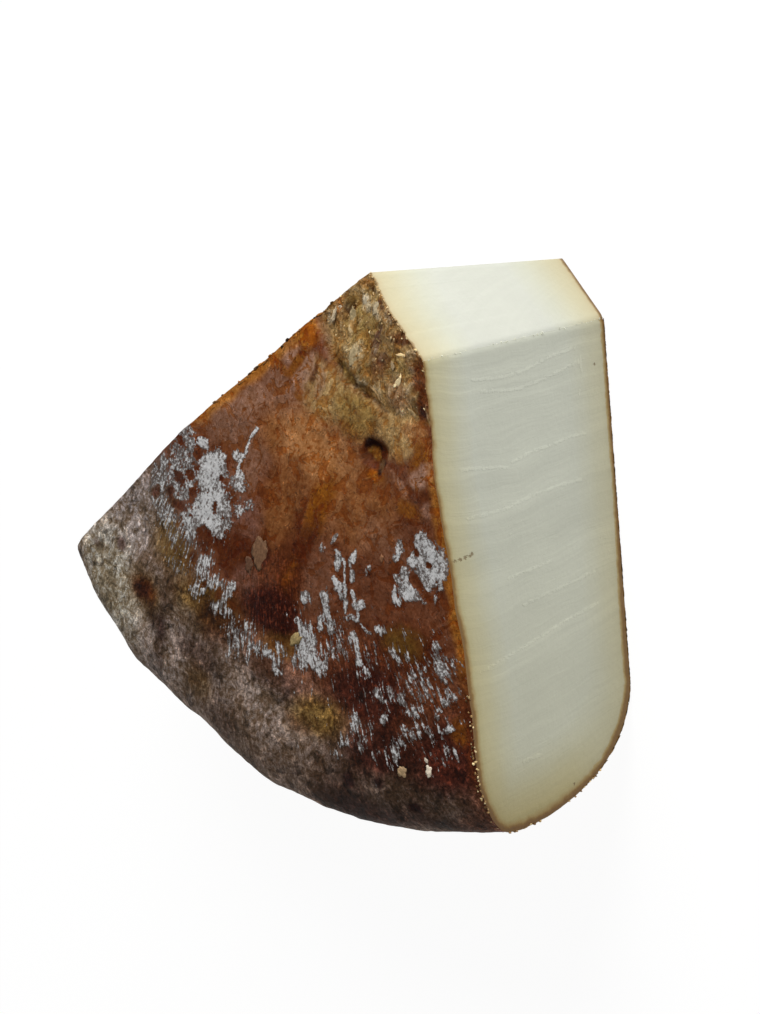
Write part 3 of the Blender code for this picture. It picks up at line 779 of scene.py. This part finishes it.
class Field:
    """A number, place or colour that varies over a surface, and adds and multiplies as numbers do."""

    def __init__(self, tree, kind, output, inputs, **settings):
        made = tree.nodes.new(kind)
        for name, value in settings.items():
            setattr(made, name, value)
        fill(tree, made, inputs)
        self.tree = tree
        self.socket = made.outputs[output]

    def maths(self, operation, *values):
        return Field(self.tree, "ShaderNodeMath", 0, dict(enumerate((self, *values))), operation=operation)

    def __add__(self, other):
        return self.maths("ADD", other)

    def __sub__(self, other):
        return self.maths("SUBTRACT", other)

    def __mul__(self, other):
        return self.maths("MULTIPLY", other)

    def ramp(self, start, end, low=0.0, high=1.0):
        """From low to high in a smooth step, as this field goes from start to end."""
        inputs = {"Value": self, "From Min": start, "From Max": end, "To Min": low, "To Max": high}
        return Field(self.tree, "ShaderNodeMapRange", "Result", inputs, interpolation_type="SMOOTHSTEP")

    def noise(self, scale, detail=4.0, roughness=0.55, distortion=0.0):
        """Noise at this place, spread evenly about 0 and mostly within 0.2 of it."""
        inputs = {"Vector": self, "Scale": scale, "Detail": detail}
        inputs.update({"Roughness": roughness, "Distortion": distortion})
        return Field(self.tree, "ShaderNodeTexNoise", "Fac", inputs) - 0.5

    def threads(self, scale, width, distortion=1.0):
        """1 on thin wandering lines, where noise crosses 0, and 0 between them."""
        return self.noise(scale, 4.0, 0.6, distortion).maths("ABSOLUTE").ramp(width, 0.25 * width)

    def between(self, first, second):
        """The first colour where this field is 0, turning to the second where it is 1."""
        return Field(self.tree, "ShaderNodeMix", 2, {0: self, 6: first, 7: second}, data_type="RGBA")

    def tinted(self, tint, share=1.0):
        """This colour multiplied by a share of another."""
        settings = {"data_type": "RGBA", "blend_type": "MULTIPLY"}
        return Field(self.tree, "ShaderNodeMix", 2, {0: share, 6: self, 7: tint}, **settings)

    def shaded(self, amount):
        """This colour, lightened or darkened by an amount that is 0 for no change."""
        factor = amount.maths("EXPONENT")
        return self.tinted(Field(self.tree, "ShaderNodeCombineColor", 0, {0: factor, 1: factor, 2: factor}))

    def bump(self, strength, distance):
        """The way that a surface faces with this height on it."""
        inputs = {"Height": self, "Strength": strength, "Distance": distance}
        return Field(self.tree, "ShaderNodeBump", "Normal", inputs)


def stored(tree, name, output="Fac"):
    """A value kept at each point of the mesh."""
    return Field(tree, "ShaderNodeAttribute", output, {}, attribute_name=name)


def new_material(name):
    """A new material, its nodes, its shader, and the place of each point in metres."""
    material = bpy.data.materials.new(name)
    material.use_nodes = True
    tree = material.node_tree
    return material, tree, tree.nodes["Principled BSDF"], Field(tree, "ShaderNodeTexCoord", "Object", {})


rind, tree, shader, place = new_material("oiled_natural_rind")
sweep_place = stored(tree, "sweep", "Vector")
rough_share = stored(tree, "rough")
furry_share = stored(tree, "furry")
brushed_share = stored(tree, "brushed")
plated_share = stored(tree, "plated")
crinkled_share = stored(tree, "crinkled")

broad = place.noise(110.0, 3.0)
middling = place.noise(420.0, 6.0, 0.6, 0.3)
fur = place.noise(800.0, 4.0, 0.62, 0.6)
grain = place.noise(1400.0, 4.0, 0.65)
hatch = sweep_place.noise(1.7, 3.0, 0.65)
streaks = sweep_place.noise(1.3, 4.0, 0.6)

# The dried film, with its sheen painted in as a paler, cooler tint, and its gaps and flecks
colour = stored(tree, "tone", "Color")
film = place.noise(230.0, 6.0, 0.6, 0.8).ramp(-0.05, -0.02)
film_share = plated_share.maths("MAXIMUM", rough_share * -0.85 + 1.0)
colour = film_share.between(colour, film.between(colour.tinted(GAP_TINT), colour.tinted(FILM_SHEEN_TINT)))
flecked = place.noise(640.0, 5.0, 0.62, 0.6).ramp(0.05, 0.09) * film_share
colour = flecked.between(colour, colour.tinted(FLECK_TINT))

# The mottle, from broad clouds down to grains, cooler where it is light
amount = (hatch * (brushed_share * (furry_share * -0.6 + 1.0)) + fur) * (rough_share * 4.2)
amount += grain * 1.4
amount += middling * (furry_share * 1.8 + 1.5)
amount += broad * (furry_share * 2.6 + 0.9)
colour = colour.shaded(amount)
colour = amount.ramp(-0.5, 0.3).between(colour.tinted(WARM_TINT), colour.tinted(COOL_TINT))

# Painted shade in the creases and painted highlights on the crests of the crinkled skin, and fine
# light roots and dark blots on the rim, then rusty streaks, split skin and pale specks
shaded_creases = place.threads(330.0, 0.030) * crinkled_share
lit_crests = place.threads(560.0, 0.022, 1.6) * crinkled_share
root = place.threads(430.0, 0.034, 2.2) * furry_share
blot = place.noise(260.0, 4.0, 0.6, 0.8).ramp(-0.07, -0.14) * furry_share
for marks, strength in ((shaded_creases, -0.45), (lit_crests, 0.5), (root, 0.4), (blot, -0.8)):
    colour = colour.shaded(marks * strength)
rusty = (hatch + grain).ramp(0.06, 0.2) * rough_share.ramp(0.55, 0.75) * (furry_share * -0.5 + 0.6)
colour = rusty.between(colour, (*RUST, 1.0))
split = place.threads(150.0, 0.016, 1.8) * middling.ramp(-0.04, 0.05)
speck = (middling * 0.6 + grain).ramp(0.19, 0.27)
for marks, strength in ((split, -0.8), (speck, 0.5)):
    colour = colour.shaded(marks * strength)

# The mould, laced and pinholed, and streaked where it was brushed
cover = stored(tree, "bloom") + brushed_share * -0.14
cover += place.noise(620.0, 6.0, 0.7, 0.5) * (brushed_share * -0.8 + 1.7)
cover += place.noise(1500.0, 3.0, 0.6) * 0.8
cover += streaks * brushed_share * 2.6
thick = (cover + middling * 1.6 + grain * 2.8).ramp(0.45, 1.1)
covered = cover.ramp(0.44, 0.56)
colour = (covered * 0.92).between(colour, thick.between(BLOOM_SHADE, BLOOM_COLOUR))

height = fur * rough_share + middling * 0.8
for marks, strength in ((film * film_share, 0.25), (lit_crests, 0.35), (shaded_creases, -0.35), (covered, 0.3)):
    height += marks * strength
fill(tree, shader, {
    "Base Color": colour,
    "Roughness": (furry_share * 0.35 + middling * 0.5 + 0.36).maths("MAXIMUM", covered * 0.85),
    "Normal": height.bump(RIND_BUMP, RIND_BUMP_HEIGHT),
    "Specular IOR Level": RIND_SHINE,
})


# The look of the paste
# Dense white goat's curd. The wire dragged fine layers across the long cuts, and the paste goes
# yellow and then brown where it dried out under the rind. Its darkening towards the rim is partly
# that drying and partly painted shade, where the light falls off away from the tip.
STRATA = (
    (20, 1.00), (34, 0.98), (36.2, 1.05), (38, 0.99), (39.4, 1.05), (41, 0.98), (44, 1.03), (46, 0.99),
    (50, 1.0), (56, 1.0), (57.8, 1.04), (60, 0.99), (62.3, 0.95), (64, 1.0), (69, 1.04), (70.5, 0.96),
    (74, 0.98), (79, 0.95), (81, 0.98), (84, 1.04), (87, 1.0), (91.5, 1.03), (94, 0.99), (101, 1.0),
    (102.3, 1.07), (103.6, 0.99), (105, 1.05), (107, 0.99), (118, 0.98), (126, 1.0), (132, 0.98),
    (150, 0.97),
)
STRATA_REACH = 150.0
NICK_COLOUR = (*albedo(96, 78, 48, 0.6), 1.0)
LOW_TINT = (0.91, 0.90, 0.88, 1.0)
DRIED_AND_SHADED_TINT = (0.72, 0.66, 0.52, 1.0)
PASTE_BUMP = 0.4
PASTE_BUMP_HEIGHT = 0.0005
PASTE_ROUGHNESS = 0.45
PASTE_SHINE = 0.25
LONG_CUT_EDGE = (
    (0.0, (0.38, 0.20, 0.06)), (0.4, (0.50, 0.29, 0.09)), (0.9, (0.74, 0.55, 0.29)),
    (1.8, (0.88, 0.78, 0.53)), (3.5, (0.95, 0.86, 0.64)), (6.5, (0.965, 0.90, 0.725)),
    (10.0, (0.985, 0.955, 0.87)), (15.0, (1.0, 1.0, 1.0)),
)
TIP_CUT_EDGE = (
    (0.0, (0.34, 0.20, 0.09)), (0.35, (0.62, 0.42, 0.22)), (0.8, (0.91, 0.76, 0.52)),
    (2.5, (0.96, 0.85, 0.62)), (5.0, (0.98, 0.89, 0.68)), (9.0, (1.0, 0.95, 0.80)),
    (14.0, (1.0, 0.99, 0.92)), (20.0, (1.0, 1.0, 1.0)),
)


def colour_ramp(field, stops, reach):
    """A ramp with a stop at each of some distances, which runs from 0 to its reach."""
    ramp = Field(field.tree, "ShaderNodeValToRGB", "Color", {0: field.maths("DIVIDE", reach)})
    elements = ramp.socket.node.color_ramp.elements
    while len(elements) < len(stops):
        elements.new(0.5)
    for element, (distance, colour) in zip(elements, stops):
        element.position = distance / reach
        element.color = (*colour, 1.0) if isinstance(colour, tuple) else (colour, colour, colour, 1.0)
    return ramp


def paste_material(name, pale, by_the_rim, edge, base_share, layer_share):
    """Paste of one colour by the tip and another by the rim, with its layers and its dried edge."""
    material, tree, shader, place = new_material(name)
    layers = stored(tree, "layers", "Vector")
    layer, down, outwards = (Field(tree, "ShaderNodeSeparateXYZ", axis, {0: layers}) for axis in "XYZ")

    # The layers, and the colour's change from the tip to the rim, which is partly painted shade
    strata = place.noise(45.0, 2.0) * 5.0 + layer
    stretched = Field(tree, "ShaderNodeCombineXYZ", 0, {0: strata, 1: down * 0.05})
    fine_layers = stretched.noise(0.8, 4.0, 0.65)
    colour = outwards.ramp(40.0, 140.0).between(pale, by_the_rim)
    colour = colour.tinted(colour_ramp(strata, STRATA, STRATA_REACH), layer_share)
    colour = colour.shaded(fine_layers * (0.17 * layer_share) + place.noise(60.0, 3.0) * 0.12)

    # Pale lines and smears of curd that the wire dragged, and dark nicks
    broken = place.noise(900.0, 4.0, 0.7)
    smears = (stretched.noise(2.2, 5.0, 0.7) * 2.2 + broken * 2.2).ramp(0.35, 0.6) * stored(tree, "smeared")
    pale_line = (broken * 1.6 + stored(tree, "pale_gap")).ramp(0.55, 0.05).maths("MAXIMUM", smears)
    dark_line = (broken * 1.8 + stored(tree, "dark_gap")).ramp(0.45, 0.2)
    colour = colour.shaded(pale_line * 0.10)
    colour = (dark_line * 0.75).between(colour, NICK_COLOUR)

    # The dried edge, which is wider towards the rim and browner along the base
    ragged = place.noise(350.0, 5.0, 0.65) * 1.6 + stored(tree, "depth")
    ragged = ragged - outwards.ramp(55.0, 100.0, 0.0, 0.8) - down.ramp(58.0, 66.0, 0.0, 0.45)
    dried_share = down.ramp(42.0, 58.0, 1.0, base_share).maths("MAXIMUM", ragged.ramp(1.6, 1.0))
    colour = colour.tinted(colour_ramp(ragged, edge, edge[-1][0]), dried_share)
    colour = down.ramp(46.0, 66.0, 0.0, layer_share).between(colour, colour.tinted(LOW_TINT))
    # Browner and darker from 116 mm out to the rim: partly dried paste, partly painted shade
    colour = outwards.ramp(116.0, 146.0).between(colour, colour.tinted(DRIED_AND_SHADED_TINT))

    height = fine_layers * (0.25 + 0.35 * layer_share) + place.noise(700.0, 5.0) * 0.4
    height = height + pale_line * 0.5 - dark_line * 0.8
    fill(tree, shader, {
        "Base Color": colour,
        "Normal": height.bump(PASTE_BUMP, PASTE_BUMP_HEIGHT),
        "Roughness": PASTE_ROUGHNESS,
        "Specular IOR Level": PASTE_SHINE,
    })
    return material


LIGHT_ON_LONG_CUT = 0.69
LIGHT_ON_TIP_CUT = 1.0
LONG_CUT_COLOUR = (*albedo(182, 184, 170, LIGHT_ON_LONG_CUT), 1.0)
# Darker by the rim, partly as drier paste and partly as painted shade
LONG_CUT_RIM_COLOUR = (*albedo(172, 172, 153, LIGHT_ON_LONG_CUT), 1.0)
TIP_CUT_COLOUR = (*albedo(229, 231, 218, LIGHT_ON_TIP_CUT), 1.0)

wedge = bpy.data.objects.new("cheese_wedge_rind_and_paste", wedge_mesh)
bpy.context.scene.collection.objects.link(wedge)
wedge_mesh.materials.append(rind)
for look in (
    ("paste_long_cuts", LONG_CUT_COLOUR, LONG_CUT_RIM_COLOUR, LONG_CUT_EDGE, 0.6, 1.0),
    ("paste_tip_cut", TIP_CUT_COLOUR, TIP_CUT_COLOUR, TIP_CUT_EDGE, 0.95, 0.25),
):
    wedge_mesh.materials.append(paste_material(*look))
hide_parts("cheese_wedge")
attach(wedge, "root")


# The scraps
# Flakes of dried skin that lie on the rind, curls that stand up from it, and crumbs that the knife
# left along the edges of the cuts. Each is a small pebble or leaf, sunk a little into the rind.
RIND_FLAKES = (
    # Colour, place and half sizes in millimetres, heading, thickness and how far its ends curl up
    ((100, 74, 55), (92.5, -13), (3.3, 2.5), 20, 0.25, 0.1),
    ((84, 60, 46), (97, -15.4), (2.0, 1.3), 30, 0.2, 0.1),
    ((140, 122, 84), (106.5, 4), (2.3, 1.1), -26, 0.6, 0.0),
    ((150, 126, 96), (118, 46.5), (1.5, 1.3), 0, 0.4, 0.0),
    ((196, 184, 166), (114.5, 53.5), (1.3, 0.9), 20, 0.5, 0.1),
    ((170, 160, 146), (112.6, 51.6), (0.7, 0.4), 60, 0.4, 0.0),
    ((206, 186, 146), (35.8, 11), (2.1, 0.8), 150, 0.5, 0.4),
    ((196, 172, 128), (29.6, 10.4), (1.3, 0.5), 110, 0.4, 0.5),
    ((152, 138, 112), (24.4, -4), (1.5, 1.1), 20, 0.2, 0.1),
    ((158, 146, 124), (24.6, -8), (1.7, 1.2), 80, 0.2, 0.1),
    ((146, 130, 100), (37, -5.4), (2.2, 1.4), 0, 0.2, 0.1),
    ((148, 132, 100), (30, -11), (1.9, 0.9), 30, 0.2, 0.1),
    ((186, 170, 142), (32.6, -16.8), (2.4, 0.9), -32, 0.2, 0.1),
    ((156, 142, 122), (30.4, -15.6), (1.6, 0.8), -32, 0.2, 0.1),
    ((150, 130, 100), (33.5, 8), (1.0, 0.7), 40, 0.3, 0.2),
    ((146, 120, 84), (42.4, 3.6), (2.4, 0.4), 80, 0.3, 0.3),
    ((150, 128, 92), (40.6, 17.6), (1.4, 0.5), 60, 0.3, 0.3),
    ((120, 84, 60), (75.5, 22.5), (0.9, 0.6), 0, 0.3, 0.0),
)
CRUMBS_ON_DISC = 70
BASE_EDGE_CRUMBS = 230
NEAR_EDGE_CRUMBS = 110
TIP_EDGE_CRUMBS = 45
FAR_EDGE_CRUMBS = 30
CURD_CRUMBS = 50
SCRAP_ROUGHNESS = 0.65
SCRAP_SHINE = 0.2
draw = random.Random(12)

outwards = np.stack([np.cos(azimuths), np.sin(azimuths), 0.0 * azimuths], axis=1)[:, None]
sideways = np.stack([np.sin(azimuths), -np.cos(azimuths), 0.0 * azimuths], axis=1)[:, None]
reach = rough_skin[:, :, :1]
surface = reach * outwards + far_cut_bow(reach, turns[:, None, None]) * sideways
surface[:, :, 2] = rough_skin[:, :, 1]
surface += np.array(AXIS)
surface_normals = np.cross(np.gradient(surface, axis=1), np.gradient(surface, axis=0))
surface_normals /= np.maximum(np.linalg.norm(surface_normals, axis=2, keepdims=True), 1e-12)
if surface_normals[STEPS_AROUND // 2, STEPS_ALONG // 2, 2] < 0.0:
    surface_normals = -surface_normals

scraps = bmesh.new()
scrap_tone = scraps.verts.layers.float_color.new("tone")


KNOCKS = ((0.5, 1.5), (0.4, 3.5))
GROUND_CLEARANCE = 0.00003


def add_scrap(centre, normal, heading, sizes, curl, colour, roundness):
    """A pebble of these half sizes in metres, knocked out of round and curled up at its ends."""
    pointing = Vector((-math.cos(heading), -math.sin(heading), 0.0))
    ahead = (pointing - pointing.dot(normal) * normal).normalized()
    aside = normal.cross(ahead)
    seed = Vector((draw.uniform(-50.0, 50.0), draw.uniform(-50.0, 50.0), 0.0))
    made = bmesh.ops.create_icosphere(scraps, subdivisions=roundness, radius=1.0)
    for vert in made["verts"]:
        way = vert.co.copy()
        way *= 1.0 + sum(depth * noise.noise(often * way + seed) for depth, often in KNOCKS)
        lift = sizes[2] * way.z + curl * way.x ** 2
        vert.co = centre + sizes[0] * way.x * ahead + sizes[1] * way.y * aside + lift * normal
        vert.co.z = max(vert.co.z, AXIS.z + GROUND_CLEARANCE * (1.5 + way.z))
        vert[scrap_tone] = (*colour, 1.0)


def scrap_at(row, column, shift, heading, sizes, curl, colour, roundness=2):
    """A scrap on one point of the rind, shifted by some metres and kept clear of the ground."""
    centre = Vector(surface[row, column]) + shift
    centre.z = max(centre.z, AXIS.z + 0.8 * sizes[1])
    add_scrap(centre, Vector(surface_normals[row, column]), heading, sizes, curl, colour, roundness)


for colour, place, size, heading, thick, curl in RIND_FLAKES:
    row, column = np.unravel_index(np.argmin(np.hypot(along - place[0], across - place[1])), along.shape)
    sizes = (0.001 * size[0], 0.001 * size[1], 0.0005 * thick)
    scrap_at(row, column, Vector((0, 0, 0)), math.radians(heading), sizes, 0.001 * curl, albedo(*colour), 3)


def crumbs(count, rows, columns, size_range, colours, stray, lengths=(1.0, 1.9), heading=None):
    """Crumbs strewn over a stretch of the rind, each up to a stray distance off it, in millimetres."""
    for _ in range(count):
        size = 0.001 * draw.uniform(*size_range)
        sizes = (size * draw.uniform(*lengths), size, size * draw.uniform(0.5, 0.9))
        lies = draw.uniform(0.0, math.pi) if heading is None else heading + draw.uniform(-0.2, 0.2)
        shift = Vector([0.001 * stray * draw.uniform(-1.0, 1.0) for _ in range(3)])
        shade = draw.uniform(0.75, 1.2) * np.array(albedo(*draw.choice(colours)))
        scrap_at(draw.randint(*rows), draw.randint(*columns), shift, lies, sizes, 0.0, shade)


PALE_CRUMBS = ((196, 176, 134), (170, 146, 104), (140, 112, 74))
DARK_CRUMBS = ((84, 62, 40), (110, 84, 54), (56, 42, 30))
FAR_EDGE_COLOURS = DARK_CRUMBS + ((150, 98, 40), (120, 80, 40))
LAST_ROW = STEPS_AROUND
DISC_COLUMNS = (0, 44)
FAR_EDGE_COLUMNS = (30, 130)
RIM_COLUMNS = (STEPS_ALONG - 60, STEPS_ALONG + STEPS_UP - 4)
BASE_COLUMNS = (STEPS_ALONG + STEPS_UP - 8, 2 * STEPS_ALONG + STEPS_UP - 2)
for strewn in (
    (CRUMBS_ON_DISC, (0, LAST_ROW), DISC_COLUMNS, (0.10, 0.28), PALE_CRUMBS, 0.05),
    (BASE_EDGE_CRUMBS, (0, 0), BASE_COLUMNS, (0.06, 0.16), DARK_CRUMBS, 0.05, (3.0, 9.0), WEDGE_ANGLE / 2),
    (NEAR_EDGE_CRUMBS, (0, 1), RIM_COLUMNS, (0.12, 0.30), PALE_CRUMBS + DARK_CRUMBS[:2], 0.2),
    (TIP_EDGE_CRUMBS, (0, LAST_ROW), (0, 1), (0.10, 0.24), PALE_CRUMBS, 0.2),
    (FAR_EDGE_CRUMBS, (LAST_ROW - 1, LAST_ROW), FAR_EDGE_COLUMNS, (0.14, 0.34), FAR_EDGE_COLOURS, 0.10,
     (1.5, 3.5), -WEDGE_ANGLE / 2),
):
    crumbs(*strewn)

# Crumbs of white curd that hang on the edge between the tip's cut and the near one
CURD_SIZES = (0.06, 0.17)
CURD_HEADINGS = (0.0, 3.0)
CURD_STRAY = 0.00022
CURD_SINK = Vector((-0.00012, 0.000072, 0.0))
CURD_FACING = Vector((0.5, -0.8, 0.3)).normalized()
CURD_ALBEDO = albedo(222, 222, 206, 0.8)
for _ in range(CURD_CRUMBS):
    distance, height = grids[0][0, draw.randint(0, STEPS_UP)]
    size = 0.001 * draw.uniform(*CURD_SIZES)
    centre = AXIS + Vector((*(distance * outward(azimuths[0])), height))
    centre += Vector([CURD_STRAY * draw.uniform(-1.0, 1.0) for _ in range(3)]) + CURD_SINK
    centre.z = max(centre.z, AXIS.z + size)
    sizes = (size * draw.uniform(1.0, 2.0), size, size)
    add_scrap(centre, CURD_FACING, draw.uniform(*CURD_HEADINGS), sizes, 0.0, CURD_ALBEDO, 1)

scraps_mesh = bpy.data.meshes.new("rind_scraps")
scraps.to_mesh(scraps_mesh)
scraps.free()
scraps_mesh.shade_smooth()
dried, tree, shader, place = new_material("dried_scraps")
fill(tree, shader, {
    "Base Color": stored(tree, "tone", "Color").shaded(place.noise(1600.0, 4.0, 0.6) * 2.0),
    "Roughness": SCRAP_ROUGHNESS,
    "Specular IOR Level": SCRAP_SHINE,
})
scraps_mesh.materials.append(dried)
scraps_object = bpy.data.objects.new("rind_scraps", scraps_mesh)
bpy.context.scene.collection.objects.link(scraps_object)
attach(scraps_object, "root")


# The floor
# A light table of white acrylic, lit from inside, which makes a plain pale studio ground.
FLOOR_HALF_SIZE = 3.0
FLOOR_GAP = 0.0002
FLOOR_GLOW = 0.945
floor_block = bmesh.new()
bmesh.ops.create_grid(floor_block, x_segments=1, y_segments=1, size=FLOOR_HALF_SIZE)
bmesh.ops.translate(floor_block, verts=floor_block.verts, vec=(0.0, 0.0, low[2] - FLOOR_GAP))
floor_mesh = bpy.data.meshes.new("floor")
floor_block.to_mesh(floor_mesh)
floor_block.free()
floor = bpy.data.objects.new("floor", floor_mesh)
bpy.context.scene.collection.objects.link(floor)
acrylic = bpy.data.materials.new("white_acrylic")
acrylic.use_nodes = True
fill(acrylic.node_tree, acrylic.node_tree.nodes["Principled BSDF"], {
    "Base Color": (0.12, 0.12, 0.12, 1.0),
    "Roughness": 0.9,
    "Specular IOR Level": 0.0,
    "Emission Color": (1.0, 1.0, 1.0, 1.0),
    "Emission Strength": FLOOR_GLOW,
})
floor_mesh.materials.append(acrylic)


# The light
# Plain soft studio light: one large panel past the tip, on the far cut's side, so that the near
# cut lies in half shade, and a dim even surround.
PANEL_PLACE = Vector((0.80, 0.27, 0.65))
PANEL_TARGET = Vector((0.0, 0.0, 0.03))
PANEL_SIZE = 0.7
PANEL_POWER = 8.3
PANEL_COLOUR = (1.0, 0.99, 0.97)
SURROUND = {"Color": (1.0, 1.0, 1.0, 1.0), "Strength": 0.14}
light = bpy.data.lights.new("panel_past_the_tip", "AREA")
light.shape = "SQUARE"
light.size = PANEL_SIZE
light.energy = PANEL_POWER
light.color = PANEL_COLOUR
panel = bpy.data.objects.new("panel_past_the_tip", light)
panel.location = PANEL_PLACE
panel.rotation_euler = (PANEL_TARGET - PANEL_PLACE).to_track_quat("-Z", "Y").to_euler()
bpy.context.scene.collection.objects.link(panel)

world = bpy.data.worlds.new("studio")
world.use_nodes = True
fill(world.node_tree, world.node_tree.nodes["Background"], SURROUND)
bpy.context.scene.world = world
bpy.context.scene.view_settings.view_transform = "Standard"


# The camera
# It looks down on the rind from beyond the near cut, and is rolled so that the tip points up, as
# the photograph is framed. Its focal length is in pixels of a picture 1014 high.
CAMERA_PLACE = AXIS + Vector((0.2741, -0.6861, 0.9347))
CAMERA_LOOK = Vector((-0.2947, 0.5819, -0.7580))
CAMERA_UP = Vector((0.8946, 0.4468, -0.0048))
FOCAL_PIXELS = 5025.0
PICTURE_HEIGHT = 1014.0

camera_data = bpy.data.cameras.new("camera")
camera_data.sensor_width = 36.0
camera_data.lens = camera_data.sensor_width * FOCAL_PIXELS / PICTURE_HEIGHT
camera_data.clip_end = 20.0
camera = bpy.data.objects.new("camera", camera_data)
back = -CAMERA_LOOK.normalized()
right = CAMERA_UP.cross(back).normalized()
upward = back.cross(right)
camera.matrix_world = Matrix.Translation(CAMERA_PLACE) @ Matrix((right, upward, back)).transposed().to_4x4()
bpy.context.scene.collection.objects.link(camera)
bpy.context.scene.camera = camera
